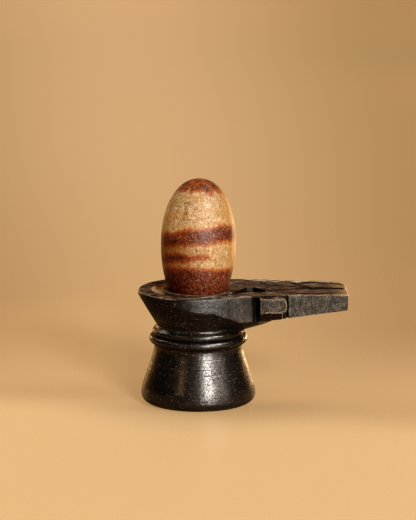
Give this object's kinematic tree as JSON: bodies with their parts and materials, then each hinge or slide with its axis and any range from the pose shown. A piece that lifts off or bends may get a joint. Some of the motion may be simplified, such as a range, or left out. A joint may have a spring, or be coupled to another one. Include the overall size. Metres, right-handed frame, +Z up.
{
  "type": "shiva lingam stone",
  "caption": "Banded egg-shaped natural stone standing upright in the seat of a turned black stone stand whose carved top runs out into a long flat spout.",
  "frame": {"origin": "centre of the flat underside of the stand's foot", "axes": "+X along the spout towards its tip, +Z up through the stone"},
  "size_m": [0.0837, 0.0471, 0.0905],
  "materials": {
    "banded_stone": "satin",
    "black_stone": "satin"
  },
  "bodies": {
    "root": {"lingam_stone": "banded_stone", "yoni_stand": "black_stone"}
  },
  "joints": []
}
